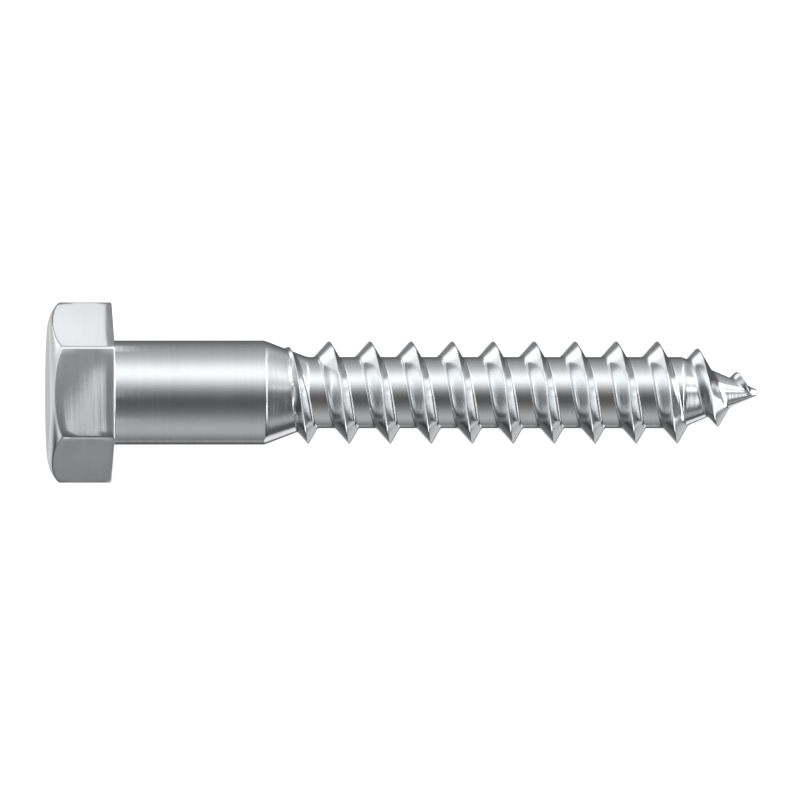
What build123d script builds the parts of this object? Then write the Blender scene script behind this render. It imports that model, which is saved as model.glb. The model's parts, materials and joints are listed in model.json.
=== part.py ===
from build123d import *
from math import atan2, cos, degrees, hypot, pi, radians, sin, sqrt, tan
import os

# Lag screw with a hexagon head and a coarse right-hand wood thread, 3/8 inch by 2-1/4 inches.
# It is one solid piece. It is modelled along X, with its point towards +X and the middle of
# the bearing face, the side of the head that meets the work, at the origin. Two corners of
# the hexagon point to +Y and -Y, so one flat is on top and another below. The finished screw
# is then tipped into the pose in which it lies on a floor. All sizes are in millimetres.

# head
ACROSS_FLATS = 13.9
HEAD_HEIGHT = 5.65
CROWN_FLAT_D = 11.3  # the flat part of the crown
CORNER_DROP = 1.05  # how far the rounded crown falls back at the hexagon's corners
CROWN_OVERRUN = 2.0  # degrees of the rounding that run on past the corners, before they are cut
CROWN_STEPS = 3  # the rounding is this many zones of spheres, which the flats cut in round arcs

# shank
SHANK_D = 9.2
SHANK_LENGTH = 13.5  # plain part, from the bearing face
SHOULDER_HALF_ANGLE = 21.0  # of the cone between the shank and the thread's root

# thread
LENGTH = 57.15  # from the bearing face to the end of the point
PITCH = 25.4 / 7
ROOT_D = 6.3
THREAD_D = 9.05  # over the crests, a little less than the shank
HEAD_SIDE_FLANK = 1.19  # length along the axis of the flank that faces the head
POINT_SIDE_FLANK = 0.77  # length along the axis of the flank that faces the point

# where the thread starts, inside the shoulder, and how it reaches its full height
THREAD_START = 14.48  # the crest's first place along the axis
THREAD_START_ANGLE = -108.0  # about the axis, from +Y towards +Z
RUN_IN_TURNS = 0.8
RUN_IN_START = 0.45  # share of the full height at the first place

# point
POINT_HALF_ANGLE = 23.3
TIP_RADIUS = 0.38
THREAD_END_GAP = 0.35  # from the crest's last place to the end of the point
END_SINK = 0.1  # how deep in the core the crest ends

# how the ridge is laid: in pieces of about a turn, with splines through stations
TURNS_PER_PIECE = 1.05
STATIONS_PER_PIECE = 12
BASE_SHARE = 0.9  # its base lies inside the core, at this share of the radius there
LEAST_BASE_SHARE = 0.3  # and at least at this share near the tip

CORNER_R = ACROSS_FLATS / sqrt(3)
SHANK_R = SHANK_D / 2
CORE_R = ROOT_D / 2
FULL_HEIGHT = (THREAD_D - ROOT_D) / 2
SHOULDER_END = SHANK_LENGTH + (SHANK_R - CORE_R) / tan(radians(SHOULDER_HALF_ANGLE))
CONE_APEX = LENGTH + TIP_RADIUS * (1 / sin(radians(POINT_HALF_ANGLE)) - 1)
POINT_START = CONE_APEX - CORE_R / tan(radians(POINT_HALF_ANGLE))
TIP_CENTRE = LENGTH - TIP_RADIUS
TIP_START = TIP_CENTRE + TIP_RADIUS * sin(radians(POINT_HALF_ANGLE))
THREAD_END = LENGTH - THREAD_END_GAP


def crown_point(angle):
    """A place on the crown's rounding, at an angle from its flat part, as (x, radius)."""
    reach = CORNER_R - CROWN_FLAT_D / 2
    round_r = (reach**2 + CORNER_DROP**2) / (2 * CORNER_DROP)
    return round_r * (1 - cos(angle)) - HEAD_HEIGHT, CROWN_FLAT_D / 2 + round_r * sin(angle)


def crown_zone(inner, outer):
    """The profile of one zone of a sphere, between two places on the rounding."""
    centre = (hypot(*outer) ** 2 - hypot(*inner) ** 2) / (2 * (outer[0] - inner[0]))
    return RadiusArc(inner, outer, hypot(inner[0] - centre, inner[1]))


def make_head():
    """The hexagon, with its crown rounded off towards the corners."""
    corner_angle = 2 * atan2(CORNER_DROP, CORNER_R - CROWN_FLAT_D / 2)
    end_angle = corner_angle + radians(CROWN_OVERRUN)
    places = [crown_point(end_angle * i / CROWN_STEPS) for i in range(CROWN_STEPS + 1)]
    zones = [crown_zone(inner, outer) for inner, outer in zip(places, places[1:])]
    rest = Polyline(places[-1], (0, places[-1][1]), (0, 0), (-HEAD_HEIGHT, 0), places[0])
    blank = revolve(make_face([*zones, rest]), Axis.X)
    hexagon = extrude(Plane.YZ * RegularPolygon(CORNER_R, 6), -HEAD_HEIGHT)
    return blank & hexagon


def make_core():
    """The shank, the shoulder and the thread's root, down to the rounded end of the point."""
    side = Polyline(
        (LENGTH, 0),
        (0, 0),
        (0, SHANK_R),
        (SHANK_LENGTH, SHANK_R),
        (SHOULDER_END, CORE_R),
        (POINT_START, CORE_R),
        (TIP_START, core_radius(TIP_START)),
    )
    half_way = radians(90 - POINT_HALF_ANGLE) / 2
    tip = ThreePointArc(
        (TIP_START, core_radius(TIP_START)),
        (TIP_CENTRE + TIP_RADIUS * cos(half_way), TIP_RADIUS * sin(half_way)),
        (LENGTH, 0),
    )
    return revolve(make_face(side + tip), Axis.X)


def core_radius(x):
    """The core's radius at a place along the axis, from the shank to the tip."""
    if x > TIP_START:
        return sqrt(max(TIP_RADIUS**2 - (x - TIP_CENTRE) ** 2, 0))
    if x > POINT_START:
        return (CONE_APEX - x) * tan(radians(POINT_HALF_ANGLE))
    if x > SHOULDER_END:
        return CORE_R
    return min(SHANK_R, CORE_R + (SHOULDER_END - x) * tan(radians(SHOULDER_HALF_ANGLE)))


def crest_radius(x):
    """The crest rises out of the shoulder, runs level and dies out at the end of the point."""
    run_in = min((x - THREAD_START) / (RUN_IN_TURNS * PITCH), 1)
    rise = RUN_IN_START + (1 - RUN_IN_START) * run_in
    fade = max((x - POINT_START) / (THREAD_END - POINT_START), 0) ** 4
    root = min(core_radius(x), CORE_R)
    return root + FULL_HEIGHT * rise * (1 - fade) - END_SINK * fade


def ridge_points(turns):
    """The corners of the ridge's section this many turns from its start: base, crest, base."""
    x = THREAD_START + PITCH * turns
    angle = radians(THREAD_START_ANGLE) + 2 * pi * turns
    top = crest_radius(x)
    base = BASE_SHARE * min(core_radius(x + POINT_SIDE_FLANK), CORE_R)
    base = max(base, LEAST_BASE_SHARE * core_radius(x))
    spread = (top - base) / FULL_HEIGHT
    corners = (x - HEAD_SIDE_FLANK * spread, base), (x, top), (x + POINT_SIDE_FLANK * spread, base)
    return [Vector(along, radius * cos(angle), radius * sin(angle)) for along, radius in corners]


def ridge_directions(turns, last):
    """The direction in which each of those corners moves as the turns go on."""
    step = 0.0001
    before = max(turns - step, 0)
    after = min(turns + step, last)
    pairs = zip(ridge_points(before), ridge_points(after))
    return [(q - p) / (after - before) for p, q in pairs]


def ridge_piece(start, end, last):
    """The three ruled strips of one piece of the ridge: its base and its two flanks."""
    count = STATIONS_PER_PIECE
    stations = [start + (end - start) * i / count for i in range(count + 1)]
    points = [ridge_points(turns) for turns in stations]
    ends = ridge_directions(start, last), ridge_directions(end, last)
    lines = [
        Edge.make_spline(
            [section[k] for section in points],
            tangents=[ends[0][k], ends[1][k]],
            parameters=stations,
            scale=False,
        )
        for k in range(3)
    ]
    return [Face.make_surface_from_curves(lines[k - 1], lines[k]) for k in range(3)]


def make_ridge():
    """The thread's ridge as one solid, from inside the shoulder to inside the tip."""
    last = (THREAD_END - THREAD_START) / PITCH
    pieces = round(last / TURNS_PER_PIECE)
    faces = [Face(Wire.make_polygon(ridge_points(turns), close=True)) for turns in (0, last)]
    for i in range(pieces):
        faces += ridge_piece(last * i / pieces, last * (i + 1) / pieces, last)
    return Solid(Shell(faces))


def rest_tilt():
    """How many degrees the point drops until a crest meets the floor under the head's flat."""
    last = (THREAD_END - THREAD_START) / PITCH
    crests = [ridge_points(degree / 360)[1] for degree in range(int(last * 360))]
    return degrees(min(atan2(ACROSS_FLATS / 2 + crest.Z, crest.X) for crest in crests))


def make_screw():
    """The whole screw in the pose in which it lies on a floor."""
    screw = make_core() + make_ridge() + make_head()
    return Rot(0, rest_tilt(), 0) * screw.solid()


os.makedirs("parts", exist_ok=True)
export_step(make_screw(), "parts/lag_screw.step")
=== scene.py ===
import json
import math

import bpy
from mathutils import Matrix, Vector


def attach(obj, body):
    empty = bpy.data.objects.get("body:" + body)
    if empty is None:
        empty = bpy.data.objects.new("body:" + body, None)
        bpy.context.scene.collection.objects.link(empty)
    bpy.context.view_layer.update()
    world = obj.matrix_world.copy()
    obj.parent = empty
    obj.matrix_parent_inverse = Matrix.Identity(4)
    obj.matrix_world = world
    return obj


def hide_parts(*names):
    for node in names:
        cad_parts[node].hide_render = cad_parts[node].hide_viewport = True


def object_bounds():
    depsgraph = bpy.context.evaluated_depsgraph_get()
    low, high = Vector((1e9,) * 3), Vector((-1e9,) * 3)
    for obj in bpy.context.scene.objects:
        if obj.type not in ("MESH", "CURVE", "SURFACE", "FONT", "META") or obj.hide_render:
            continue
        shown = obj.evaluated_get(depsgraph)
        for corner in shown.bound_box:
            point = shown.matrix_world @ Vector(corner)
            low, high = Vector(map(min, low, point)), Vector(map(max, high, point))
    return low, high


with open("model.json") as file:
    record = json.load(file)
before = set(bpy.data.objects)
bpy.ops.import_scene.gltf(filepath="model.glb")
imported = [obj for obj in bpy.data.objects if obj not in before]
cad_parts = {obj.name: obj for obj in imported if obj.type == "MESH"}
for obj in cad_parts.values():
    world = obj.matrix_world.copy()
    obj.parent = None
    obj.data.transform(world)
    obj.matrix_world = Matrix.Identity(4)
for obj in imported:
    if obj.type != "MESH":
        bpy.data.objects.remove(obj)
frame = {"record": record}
cad_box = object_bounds()

# The lag screw as the eye meets it: one piece of steel, cold headed, thread rolled and zinc
# plated. It is made along X about its own axis, head at -X and point at +X, and laid down in
# its resting pose at the end. All lengths are in metres.

MM = 0.001
MOUNTS = {mount["name"]: mount for mount in frame["record"]["mounts"]}
AXIS = Vector(MOUNTS["bearing_face"]["axis"])
TILT = math.atan2(-AXIS.z, AXIS.x)
LYING = Matrix.Rotation(TILT, 3, "Y")
SHANK_R = MOUNTS["shank"]["dims"]["r_mm"] * MM
SHANK_LENGTH = MOUNTS["shank"]["dims"]["length_mm"] * MM
CREST_R = MOUNTS["thread"]["dims"]["r_mm"] * MM
HEAD_HEIGHT = MOUNTS["hex_drive"]["dims"]["length_mm"] * MM
UPPER_FLAT = MOUNTS["wrench_flat_upper"]
HALF_FLATS = Vector(UPPER_FLAT["pos_m"]).dot(Vector(UPPER_FLAT["axis"]))

# head
CORNER_R = HALF_FLATS / math.cos(math.pi / 6)
CROWN_FLAT_R = 5.65 * MM  # the flat part of the crown
CROWN_SETBACK = 0.005 * MM  # keeps the crown's full rounding inside the solid's box
CORNER_DROP = 1.05 * MM  # how far the rounded crown falls back at the hexagon's corners
CORNER_ROUND = 0.22 * MM  # of the six edges along the axis
EDGE_ROUND = 0.1 * MM  # of the edges round the crown and the bearing face
EDGE_STEPS = 3
SHARP_EDGE = math.radians(35)  # the least angle between faces at which an edge is rounded
CORNER_STEPS = 4
FLAT_CUTS = 13
SIDE_ROWS = 6
CROWN_ROWS = 7

# shank and shoulder
UNDERHEAD_R = 0.2 * MM  # of the fillet between shank and bearing face
SHOULDER_SLOPE = math.tan(math.radians(21.0))
SHOULDER_ROUND = 0.05 * MM

# thread
LENGTH = 57.15 * MM
PITCH = 25.4 * MM / 7
CORE_R = 3.15 * MM
HEAD_SIDE_FLANK = 1.19 * MM  # length along the axis of the flank that faces the head
POINT_SIDE_FLANK = 0.77 * MM  # length along the axis of the flank that faces the point
THREAD_START = 14.48 * MM  # the crest's first place along the axis, inside the shoulder
START_TURN = -108.0 / 360  # about the axis, from +Y towards +Z
RUN_IN_TURNS = 0.8
RUN_IN_START = 0.45  # share of the full height at the first place
CREST_ROUND = 0.03 * MM
ROOT_FILLET = 0.2 * MM
LEAST_FILLET = 0.26  # near the tip the fillet shrinks to this share of the radius

# point
POINT_SLOPE = math.tan(math.radians(23.3))
TIP_R = 0.38 * MM
THREAD_END = LENGTH - 0.35 * MM
END_SINK = 0.1 * MM  # how deep in the core the crest ends
TIP_HOLE = 0.02  # the angle, in radians, at which the tip's last ring is drawn together

# mesh
COLUMNS = 144  # in one turn of the thread
ARC_STEPS = 6  # on the tip and on the fillet under the head
WELD = 0.001 * MM
SMOOTH_ANGLE = math.radians(30)

FULL_HEIGHT = CREST_R - CORE_R
CONE_APEX = LENGTH + TIP_R * (math.sqrt(1 + 1 / POINT_SLOPE**2) - 1)
POINT_START = CONE_APEX - CORE_R / POINT_SLOPE
TIP_CENTRE = LENGTH - TIP_R
TIP_START = TIP_CENTRE + TIP_R * math.sin(math.atan(POINT_SLOPE))
SHEET_START = SHANK_LENGTH - SHOULDER_ROUND / SHOULDER_SLOPE


def soft_max(a, b, width):
    """The larger of two lengths, with a fillet where they are within a width of each other."""
    overlap = max(width - abs(a - b), 0) / width
    return max(a, b) + overlap**2 * width / 4


def soft_min(a, b, width):
    """The smaller of two lengths, with the corner between them rounded in the same way."""
    return -soft_max(-a, -b, width)


def core_radius(x):
    """The radius of the screw without its thread, from the shank to the tip."""
    if x > TIP_START:
        return math.sqrt(max(TIP_R**2 - (x - TIP_CENTRE) ** 2, 0))
    shoulder = SHANK_R - (x - SHANK_LENGTH) * SHOULDER_SLOPE
    root = soft_min(CORE_R, (CONE_APEX - x) * POINT_SLOPE, SHOULDER_ROUND)
    return soft_min(SHANK_R, soft_max(shoulder, root, SHOULDER_ROUND), SHOULDER_ROUND)


def crest_radius(x):
    """The crest rises out of the shoulder, runs level and dies out at the end of the point."""
    run_in = min((x - THREAD_START) / (RUN_IN_TURNS * PITCH), 1)
    rise = RUN_IN_START + (1 - RUN_IN_START) * run_in
    fade = max((x - POINT_START) / (THREAD_END - POINT_START), 0) ** 4
    root = min(CORE_R, (CONE_APEX - x) * POINT_SLOPE)
    return root + FULL_HEIGHT * rise * (1 - fade) - END_SINK * fade


def flank_drop(along):
    """How far a flank is below the crest, at a distance along the axis towards the point."""
    run = POINT_SIDE_FLANK if along > 0 else HEAD_SIDE_FLANK
    return FULL_HEIGHT / run * (math.hypot(along, CREST_ROUND) - CREST_ROUND)


def surface_radius(x, turn):
    """The screw's radius at a place along its axis and so many turns about it from +Y."""
    radius = core_radius(x)
    fillet = min(ROOT_FILLET, LEAST_FILLET * radius)
    phase = (turn - START_TURN) % 1
    before = math.floor((x - THREAD_START) / PITCH - phase)
    for count in (before, before + 1):
        crest_x = THREAD_START + (count + phase) * PITCH
        if THREAD_START <= crest_x <= THREAD_END:
            ridge = crest_radius(crest_x) - flank_drop(x - crest_x)
            radius = soft_max(radius, ridge, fillet)
    return radius


def select(mesh, wanted):
    """In edit mode, selects the vertices that a test picks, with what lies between them."""
    bpy.ops.mesh.select_all(action="DESELECT")
    bpy.ops.object.mode_set(mode="OBJECT")
    for vertex in mesh.vertices:
        vertex.select = wanted(vertex)
    bpy.ops.object.mode_set(mode="EDIT")


def select_open_ring(mesh, wanted):
    """In edit mode, selects the open edges whose vertices a test picks."""
    bpy.ops.mesh.select_all(action="DESELECT")
    bpy.ops.mesh.select_non_manifold()
    bpy.ops.object.mode_set(mode="OBJECT")
    ring = {vertex.index for vertex in mesh.vertices if vertex.select and wanted(vertex)}
    bpy.ops.object.mode_set(mode="EDIT")
    select(mesh, lambda vertex: vertex.index in ring)


def move_selected(mesh, place):
    """In edit mode, brings each selected vertex to where a function of its place says."""
    bpy.ops.object.mode_set(mode="OBJECT")
    for vertex in mesh.vertices:
        if vertex.select:
            vertex.co = place(vertex.co)
    bpy.ops.object.mode_set(mode="EDIT")


def draw_out_ring(rings):
    """Extrudes the selected ring of edges to each of these steps along the axis and scales."""
    for step, scale in rings:
        bpy.ops.mesh.extrude_region_move(TRANSFORM_OT_translate={"value": (step, 0, 0)})
        bpy.ops.transform.resize(value=(1, scale, scale), center_override=(0, 0, 0))


def ring_steps(outline):
    """The steps between the places (x, radius) of an outline, as draw_out_ring wants them."""
    return [(x1 - x0, r1 / r0) for (x0, r0), (x1, r1) in zip(outline, outline[1:])]


def arc_places(centre_x, centre_r, radius, first, last):
    """Places on an arc from one angle to another, measured from +X towards larger radii."""
    angles = [first + (last - first) * i / ARC_STEPS for i in range(ARC_STEPS + 1)]
    return [
        (centre_x + radius * math.cos(angle), centre_r + radius * math.sin(angle))
        for angle in angles
    ]


def thread_rows():
    """Where the rows of one pitch lie, from the crest: close at the crest and the feet."""
    stretches = [  # from and to, in millimetres, and how many rows between
        (-1.62, -1.40, 1),
        (-1.40, -0.80, 8),
        (-0.80, -0.10, 4),
        (-0.10, 0.10, 6),
        (0.10, 0.55, 3),
        (0.55, 1.15, 8),
        (1.15, -1.62 + PITCH / MM, 4),
    ]
    rows = [-1.62 * MM]
    for start, end, count in stretches:
        rows += [(start + (end - start) * (i + 1) / count) * MM for i in range(count)]
    return rows


def make_threaded_part():
    """The shoulder, thread and point: one pitch of rows turned along the helix, then shaped."""
    rows = thread_rows()
    bpy.ops.mesh.primitive_grid_add(x_subdivisions=len(rows) - 1, y_subdivisions=1, size=1)
    screw = bpy.context.object
    mesh = screw.data
    bpy.ops.object.mode_set(mode="EDIT")
    bpy.ops.mesh.select_mode(type="VERT")
    select(mesh, lambda vertex: vertex.co.y > 0)
    bpy.ops.mesh.delete(type="VERT")
    bpy.ops.object.mode_set(mode="OBJECT")

    # the crest's line carried back past its start, to a place at +Y inside the shank
    first_crest = THREAD_START + (-START_TURN % 1 - 2) * PITCH
    for vertex, row in zip(sorted(mesh.vertices, key=lambda v: v.co.x), rows):
        vertex.co = (first_crest + row, CORE_R, 0)
    turns = math.ceil((LENGTH - first_crest) / PITCH) + 1
    helix = screw.modifiers.new("helix", "SCREW")
    helix.axis = "X"
    helix.angle = 2 * math.pi
    helix.screw_offset = PITCH
    helix.iterations = turns
    helix.steps = helix.render_steps = COLUMNS
    helix.use_normal_calculate = False
    bpy.ops.object.modifier_apply(modifier=helix.name)

    for vertex in mesh.vertices:
        turn = math.atan2(vertex.co.z, vertex.co.y) / (2 * math.pi)
        x = min(max(vertex.co.x, SHEET_START), TIP_START)
        radius = surface_radius(x, turn)
        angle = turn * 2 * math.pi
        vertex.co = (x, radius * math.cos(angle), radius * math.sin(angle))
    bpy.ops.object.mode_set(mode="EDIT")
    bpy.ops.mesh.select_all(action="SELECT")
    bpy.ops.mesh.remove_doubles(threshold=WELD)
    return screw


def add_tip(mesh):
    """Closes the end of the point with its small round tip."""
    select_open_ring(mesh, lambda vertex: vertex.co.x > POINT_START)
    start = math.pi / 2 - math.atan(POINT_SLOPE)
    draw_out_ring(ring_steps(arc_places(TIP_CENTRE, 0, TIP_R, start, TIP_HOLE)))
    bpy.ops.mesh.merge(type="CENTER")


def add_shank(mesh):
    """Draws the plain shank back to the head and out along the fillet under it."""
    select_open_ring(mesh, lambda vertex: vertex.co.x < SHANK_LENGTH)
    centre_r = SHANK_R + UNDERHEAD_R
    fillet = arc_places(UNDERHEAD_R, centre_r, UNDERHEAD_R, -math.pi / 2, -math.pi)
    middle = (SHEET_START + UNDERHEAD_R) / 2
    outline = [(SHEET_START, SHANK_R), (middle, SHANK_R)] + fillet
    draw_out_ring(ring_steps(outline))


def crown_x(radius):
    """How far along the axis the crown lies at this radius."""
    reach = CORNER_R - CROWN_FLAT_R
    round_r = (reach**2 + CORNER_DROP**2) / (2 * CORNER_DROP)
    out = max(radius - CROWN_FLAT_R, 0)
    return round_r - math.sqrt(round_r**2 - out**2) - HEAD_HEIGHT + CROWN_SETBACK


def hexagon_outline():
    """The bearing face's outline, with rounded corners and its sides divided evenly."""
    bpy.ops.mesh.primitive_circle_add(
        vertices=6, radius=CORNER_R, fill_type="NGON", rotation=(0, math.pi / 2, 0)
    )
    bpy.ops.object.transform_apply(location=False, rotation=True, scale=False)
    head = bpy.context.object
    mesh = head.data
    bpy.ops.object.mode_set(mode="EDIT")
    bpy.ops.mesh.select_all(action="SELECT")
    bpy.ops.mesh.bevel(offset=CORNER_ROUND, segments=CORNER_STEPS, affect="VERTICES")
    bpy.ops.mesh.select_mode(type="EDGE")
    bpy.ops.mesh.select_all(action="DESELECT")
    bpy.ops.object.mode_set(mode="OBJECT")
    for edge in mesh.edges:
        ends = [mesh.vertices[index].co for index in edge.vertices]
        edge.select = (ends[0] - ends[1]).length > CORNER_R / 2
    bpy.ops.object.mode_set(mode="EDIT")
    bpy.ops.mesh.subdivide(number_cuts=FLAT_CUTS)
    return head


def make_head():
    """The head: the hexagon's outline drawn out along the axis and then in over the crown."""
    head = hexagon_outline()
    bpy.ops.mesh.select_all(action="SELECT")
    bpy.ops.mesh.region_to_loop()
    for row in range(1, SIDE_ROWS + 1):
        draw_side_row(head.data, row / SIDE_ROWS)
    for row in range(CROWN_ROWS):
        draw_crown_row(head.data, 1 / (CROWN_ROWS - row))
    bpy.ops.mesh.edge_face_add()
    bpy.ops.mesh.select_all(action="SELECT")
    bpy.ops.mesh.normals_make_consistent(inside=False)
    bpy.ops.mesh.select_all(action="DESELECT")
    bpy.ops.mesh.edges_select_sharp(sharpness=SHARP_EDGE)
    bpy.ops.mesh.bevel(
        offset=EDGE_ROUND,
        segments=EDGE_STEPS,
        affect="EDGES",
        clamp_overlap=False,
        loop_slide=True,
    )
    bpy.ops.object.mode_set(mode="OBJECT")
    return head


def draw_side_row(mesh, share):
    """Extrudes the ring of edges to this share of the way from bearing face to crown."""

    def along(co):
        return (crown_x(math.hypot(co.y, co.z)) * share, co.y, co.z)

    bpy.ops.mesh.extrude_edges_move()
    move_selected(mesh, along)


def draw_crown_row(mesh, share):
    """Extrudes the ring of edges over the crown by this share of the way to its flat part."""

    def inwards(co):
        old = math.hypot(co.y, co.z)
        new = old + (CROWN_FLAT_R - old) * share
        return (crown_x(new), co.y * new / old, co.z * new / old)

    bpy.ops.mesh.extrude_edges_move()
    move_selected(mesh, inwards)


def join_head(screw, head):
    """Makes head and shank one piece, with the bearing face between them."""
    mesh = head.data
    bpy.ops.object.mode_set(mode="EDIT")
    bpy.ops.mesh.select_mode(type="FACE")
    bpy.ops.mesh.select_all(action="DESELECT")
    bpy.ops.object.mode_set(mode="OBJECT")
    for face in mesh.polygons:
        face.select = face.normal.x > 0.99 and face.center.x > -WELD
    bpy.ops.object.mode_set(mode="EDIT")
    bpy.ops.mesh.delete(type="ONLY_FACE")
    bpy.ops.object.mode_set(mode="OBJECT")
    bpy.ops.object.select_all(action="DESELECT")
    head.select_set(True)
    screw.select_set(True)
    bpy.context.view_layer.objects.active = screw
    bpy.ops.object.join()
    bpy.ops.object.mode_set(mode="EDIT")
    bpy.ops.mesh.select_mode(type="EDGE")
    bpy.ops.mesh.select_all(action="DESELECT")
    bpy.ops.mesh.select_non_manifold()
    bpy.ops.mesh.fill(use_beauty=True)
    bpy.ops.mesh.select_all(action="SELECT")
    bpy.ops.mesh.normals_make_consistent(inside=False)
    bpy.ops.object.mode_set(mode="OBJECT")


def lay_down(screw):
    """Turns the screw about Y into the pose in which it lies on the floor."""
    screw.rotation_euler = (0, TILT, 0)
    bpy.ops.object.transform_apply(location=False, rotation=True, scale=False)


def shade_evenly(screw):
    """Smooth shading that leaves the flat faces flat up to their rounded edges."""
    bpy.ops.object.shade_smooth_by_angle(angle=SMOOTH_ANGLE)
    weighted = screw.modifiers.new("even_shading", "WEIGHTED_NORMAL")
    weighted.keep_sharp = True
    bpy.ops.object.modifier_apply(modifier=weighted.name)


def make_screw():
    """The whole screw as one closed mesh, as it lies on the floor."""
    bpy.ops.object.select_all(action="DESELECT")
    screw = make_threaded_part()
    add_tip(screw.data)
    add_shank(screw.data)
    bpy.ops.object.mode_set(mode="OBJECT")
    bpy.ops.object.select_all(action="DESELECT")
    join_head(screw, make_head())
    lay_down(screw)
    shade_evenly(screw)
    screw.name = screw.data.name = "zinc_plated_lag_screw"
    return screw


class Signal:
    """A socket of a node tree. Sums, products and powers of signals add Math nodes to it."""

    def __init__(self, tree, socket):
        self.tree = tree
        self.socket = socket

    def math(self, operation, first, second):
        """A Math node's result, as another signal."""
        settings = {"operation": operation}
        return add_node(self.tree, "ShaderNodeMath", settings, {0: first, 1: second})

    def __add__(self, other):
        return self.math("ADD", self, other)

    def __radd__(self, other):
        return self.math("ADD", other, self)

    def __sub__(self, other):
        return self.math("SUBTRACT", self, other)

    def __rsub__(self, other):
        return self.math("SUBTRACT", other, self)

    def __mul__(self, other):
        return self.math("MULTIPLY", self, other)

    def __rmul__(self, other):
        return self.math("MULTIPLY", other, self)

    def __pow__(self, other):
        return self.math("POWER", self, other)

    def __rpow__(self, other):
        return self.math("POWER", other, self)


def add_node(tree, kind, settings=None, inputs=None, output=0):
    """Adds a node, sets it up, gives its sockets values or links, and returns one output."""
    node = tree.nodes.new(kind)
    for name, value in (settings or {}).items():
        setattr(node, name, value)
    for name, value in (inputs or {}).items():
        if isinstance(value, Signal):
            tree.links.new(value.socket, node.inputs[name])
        else:
            node.inputs[name].default_value = value
    return Signal(tree, node.outputs[output]) if node.outputs else None


def vector_math(tree, operation, first, second=(0, 0, 0), output="Vector"):
    """A Vector Math node's result."""
    settings = {"operation": operation}
    return add_node(tree, "ShaderNodeVectorMath", settings, {0: first, 1: second}, output)


def scaled(tree, vector, factor):
    """A direction or a colour times a signal."""
    settings = {"operation": "SCALE"}
    return add_node(tree, "ShaderNodeVectorMath", settings, {0: vector, "Scale": factor})


def smooth_step(tree, value, start, end, top=1.0):
    """A soft rise from 0 to its top while a value goes from start to end."""
    settings = {"interpolation_type": "SMOOTHSTEP"}
    limits = {"Value": value, "From Min": start, "From Max": end, "To Max": top}
    return add_node(tree, "ShaderNodeMapRange", settings, limits)


def squeezed(tree, place, around):
    """Coordinates squeezed across the axis to this share, so that marks run round it."""
    scales = (1, around, around)
    return add_node(tree, "ShaderNodeMapping", {}, {"Vector": place, "Scale": scales})


def noise(tree, place, scale, detail):
    """Soft noise between 0 and 1, with about as many waves in a metre as its scale says."""
    values = {"Vector": place, "Scale": scale, "Detail": detail}
    return add_node(tree, "ShaderNodeTexNoise", {}, values)


ZINC_COLOUR = (0.625, 0.642, 0.655)
FINE_RINGS = 3800.0  # waves a metre, like the next four
WIDE_RINGS = 900.0
CLOUDS = 450.0
GRAINS = 9000.0
FACE_WAVES = 130.0
FINE_RING_SHARE = 0.03  # how fast the rings change round the axis, against along it
WIDE_RING_SHARE = 0.05
RING_DEPTH = 0.003 * MM  # of the marks from drawing and rolling
GRAIN_DEPTH = 0.0006 * MM
WAVE_DEPTH = 0.4 * MM  # of the forged faces of the head


def zinc_plating():
    """Bright zinc plating over drawn and rolled steel."""
    material = bpy.data.materials.new("zinc_plating")
    material.use_nodes = True
    tree = material.node_tree
    tree.nodes.clear()
    place = add_node(tree, "ShaderNodeTexCoord", output="Object")
    unturned = {"Vector": place, "Rotation": (0, -TILT, 0)}
    straight = add_node(tree, "ShaderNodeMapping", {}, unturned)
    ring_marks = noise(tree, squeezed(tree, straight, FINE_RING_SHARE), FINE_RINGS, 2.0)
    wide_rings = noise(tree, squeezed(tree, straight, WIDE_RING_SHARE), WIDE_RINGS, 2.0)
    cloud = noise(tree, straight, CLOUDS, 3.0)
    grain = noise(tree, straight, GRAINS, 1.0)
    waves = noise(tree, straight, FACE_WAVES, 0.0)
    spoke = vector_math(tree, "MULTIPLY", straight, (0, 1, 1))
    off_axis = vector_math(tree, "LENGTH", spoke, output="Value")
    on_head = smooth_step(tree, off_axis, SHANK_R + UNDERHEAD_R, HALF_FLATS - EDGE_ROUND)
    tone = 0.95 + ring_marks * 0.08 + cloud * 0.06 - grain * 0.04
    colour = scaled(tree, ZINC_COLOUR, tone)
    roughness = 0.07 + ring_marks * 0.06 + cloud * 0.06 + wide_rings * 0.05
    height = (
        ring_marks * RING_DEPTH
        + wide_rings * RING_DEPTH
        + grain * GRAIN_DEPTH
        + (waves - 0.5) * on_head * WAVE_DEPTH
    )
    bumps = add_node(tree, "ShaderNodeBump", {}, {"Height": height, "Distance": 1.0})
    metal = add_node(
        tree,
        "ShaderNodeBsdfPrincipled",
        {},
        {"Base Color": colour, "Metallic": 1.0, "Roughness": roughness, "Normal": bumps},
    )
    add_node(tree, "ShaderNodeOutputMaterial", {}, {"Surface": metal})
    return material


# The studio's panels of light. Each one is given by where it hangs across the screw, in degrees
# from above towards +Y, and its width there, by the cosine from the screw's axis of its middle
# and its reach along it, and by its strength.
PANELS = [
    (42, 31, 0, 0.85, 1.28),
    (88, 54, 0, 0.85, 0.5),
    (-88, 41, 0, 0.25, 0.56),
    (-90, 35, 0.57, 0.06, 0.5),
    (0, 50, 0.42, 0.05, 3.0),
    (-42, 30, 0.425, 0.045, 2.4),
    (30, 55, 0.53, 0.11, 0.6),
    (145, 18, -0.68, 0.15, 1.6),
    (75, 35, 0.34, 0.1, 1.2),
    (0, 75, -0.45, 0.1, 1.2),
    (180, 14, -0.5, 0.52, 0.8),
]

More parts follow.
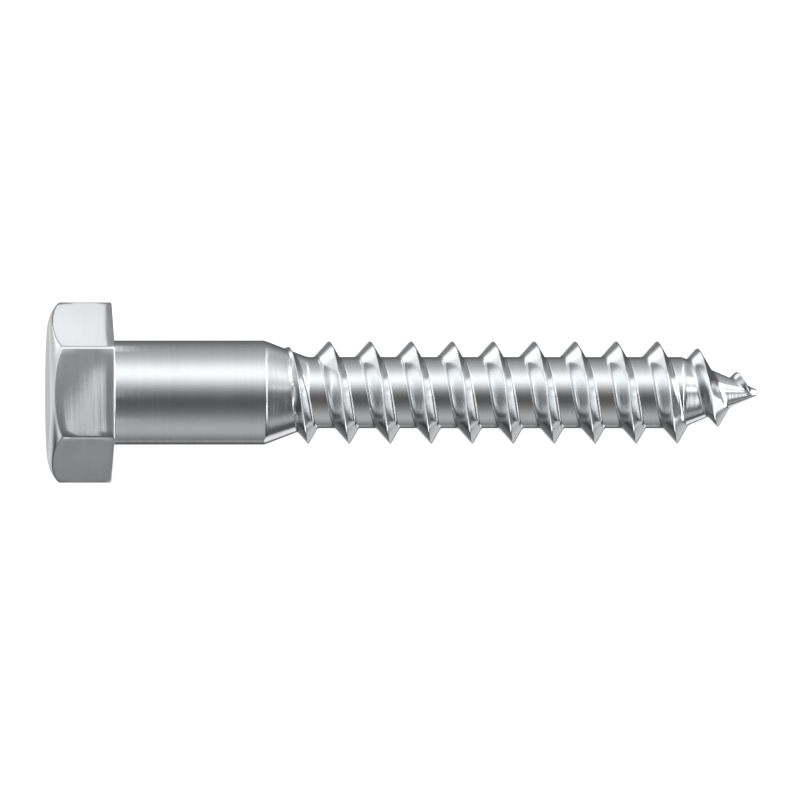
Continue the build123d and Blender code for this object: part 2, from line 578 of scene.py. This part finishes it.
# The studio's round lights. Each one is given by the direction from the screw of its middle,
# with the screw's own axis as X, by how many degrees from there its light starts to fade and
# is gone, and by its strength. One with a strength below zero shades a part of the first.
ROUND_LIGHTS = [
    ((0.99, -0.139, 0), 36, 38.5, 2.5),
    ((0.96, -0.05, -0.27), 12, 18.5, -2.0),
    ((0.9, 0.4, 0.2), 16, 22, 2.4),
    ((0.81, 0.15, 0.566), 5, 10, 1.6),
    ((0.3, -0.62, -0.72), 8, 17, 1.1),
    ((0.49, -0.19, -0.85), 8, 20, 0.62),
    ((-1, 0, 0.05), 25, 47, 0.75),
    ((-0.75, 0.6, -0.2), 5, 32, 0.4),
    ((-0.75, -0.6, -0.2), 5, 27, 0.4),
]
STUDIO_DIMNESS = 0.04  # of the studio where nothing hangs


def studio_light():
    """A soft studio far away, brighter where each of its feathered lights hangs."""
    world = bpy.data.worlds.new("studio")
    bpy.context.scene.world = world
    world.use_nodes = True
    tree = world.node_tree
    tree.nodes.clear()
    way = add_node(tree, "ShaderNodeTexCoord", output="Generated")
    along = vector_math(tree, "DOT_PRODUCT", way, AXIS, "Value")
    ends = scaled(tree, AXIS, along)
    across = vector_math(tree, "NORMALIZE", vector_math(tree, "SUBTRACT", way, ends))
    light = STUDIO_DIMNESS
    for angle, width, middle, reach, strength in PANELS:
        facing = vector_math(tree, "DOT_PRODUCT", across, toward(angle), "Value")
        sharpness = 1 / (1 - math.cos(math.radians(width)))
        off = (along - middle) * (1 / reach)
        light = light + strength * math.e ** ((facing - 1) * sharpness - off * off * off * off)
    for direction, inner, outer, strength in ROUND_LIGHTS:
        centre = LYING @ Vector(direction).normalized()
        facing = vector_math(tree, "DOT_PRODUCT", way, centre, "Value")
        outside = math.cos(math.radians(outer))
        inside = math.cos(math.radians(inner))
        light = light + smooth_step(tree, facing, outside, inside, strength)
    sky = add_node(tree, "ShaderNodeBackground", {}, {"Color": (1, 1, 1, 1), "Strength": light})
    add_node(tree, "ShaderNodeOutputWorld", {}, {"Surface": sky})


def toward(angle):
    """A direction across the screw, so many degrees from above towards +Y."""
    return LYING @ Vector((0, math.sin(math.radians(angle)), math.cos(math.radians(angle))))


# Small cards of light beside the head, for its polished faces: name, place, the place they
# face, size along the screw and across it, all in millimetres with the screw's own axis as X,
# and strength.
HEAD_CARDS = [
    ("upper_card", (-5.8, 60, -24), (-3, 6, 3.5), (18, 26), 0.9),
    ("lower_card", (-4, -58, 30), (-3, -4, 7), (7, 8), 3.0),
    ("near_card", (-0.8, -2, 37), (-1.4, -2, 7), (2.4, 9), 0.9),
]


def head_card(name, place, aim, size, strength):
    """One of these cards, which is seen only as a reflection in the metal."""
    lamp = bpy.data.lights.new(name, "AREA")
    lamp.shape = "RECTANGLE"
    lamp.size = size[0] * MM
    lamp.size_y = size[1] * MM
    lamp.energy = strength * math.pi * lamp.size * lamp.size_y
    card = bpy.data.objects.new(name, lamp)
    bpy.context.scene.collection.objects.link(card)
    back = LYING @ (Vector(place) - Vector(aim)).normalized()
    side = back.cross(AXIS).normalized()
    turned = Matrix((side.cross(back), side, back)).transposed()
    card.matrix_world = Matrix.Translation(LYING @ (Vector(place) * MM)) @ turned.to_4x4()
    card.visible_camera = False
    card.visible_diffuse = False


FLOOR_SIZE = 3.0


def white_paper():
    """Matt paper, so evenly lit that it is nearly white all over."""
    material = bpy.data.materials.new("paper")
    material.use_nodes = True
    tree = material.node_tree
    tree.nodes.clear()
    surface = add_node(
        tree,
        "ShaderNodeBsdfPrincipled",
        {},
        {
            "Base Color": (0.5, 0.5, 0.5, 1),
            "Roughness": 1.0,
            "Specular IOR Level": 0.0,
            "Emission Color": (1, 1, 1, 1),
            "Emission Strength": 0.8,
        },
    )
    add_node(tree, "ShaderNodeOutputMaterial", {}, {"Surface": surface})
    return material


def lay_paper():
    """A plain sheet under the screw, which the metal doesn't mirror."""
    bpy.ops.mesh.primitive_plane_add(size=FLOOR_SIZE, location=(0, 0, cad_box[0].z))
    floor = bpy.context.object
    floor.name = "floor"
    floor.data.materials.append(white_paper())
    floor.visible_glossy = False
    floor.visible_shadow = False
    return floor


CAMERA_DISTANCE = 2400 * MM
CAMERA_LEAN = math.radians(3.1)  # from square above the screw towards its head
CAMERA_LENS = 1223  # in millimetres, like the sensor
CAMERA_SENSOR = 36
CAMERA_NEAR = 0.01
CAMERA_FAR = 10
AIM_X = 25.5 * MM
AIM_Y = -0.66 * MM


def place_camera():
    """A far camera over the middle of the screw, with the point on its right."""
    offset_x = CAMERA_DISTANCE * math.sin(CAMERA_LEAN)
    offset_z = CAMERA_DISTANCE * math.cos(CAMERA_LEAN)
    eye = LYING @ Vector((AIM_X - offset_x, AIM_Y, offset_z))
    aim = LYING @ Vector((AIM_X, AIM_Y, 0))
    view = bpy.data.cameras.new("camera")
    view.lens = CAMERA_LENS
    view.sensor_width = CAMERA_SENSOR
    view.clip_start = CAMERA_NEAR
    view.clip_end = CAMERA_FAR
    camera = bpy.data.objects.new("camera", view)
    bpy.context.scene.collection.objects.link(camera)
    bpy.context.scene.camera = camera
    back = (eye - aim).normalized()
    right = Vector((0, 1, 0)).cross(back).normalized()
    turned = Matrix((right, back.cross(right), back)).transposed()
    camera.matrix_world = Matrix.Translation(eye) @ turned.to_4x4()


screw = make_screw()
screw.data.materials.clear()
screw.data.materials.append(zinc_plating())
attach(screw, "root")
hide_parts("lag_screw")

studio_light()
for card in HEAD_CARDS:
    head_card(*card)
floor = lay_paper()
place_camera()
bpy.context.scene.view_settings.view_transform = "Standard"
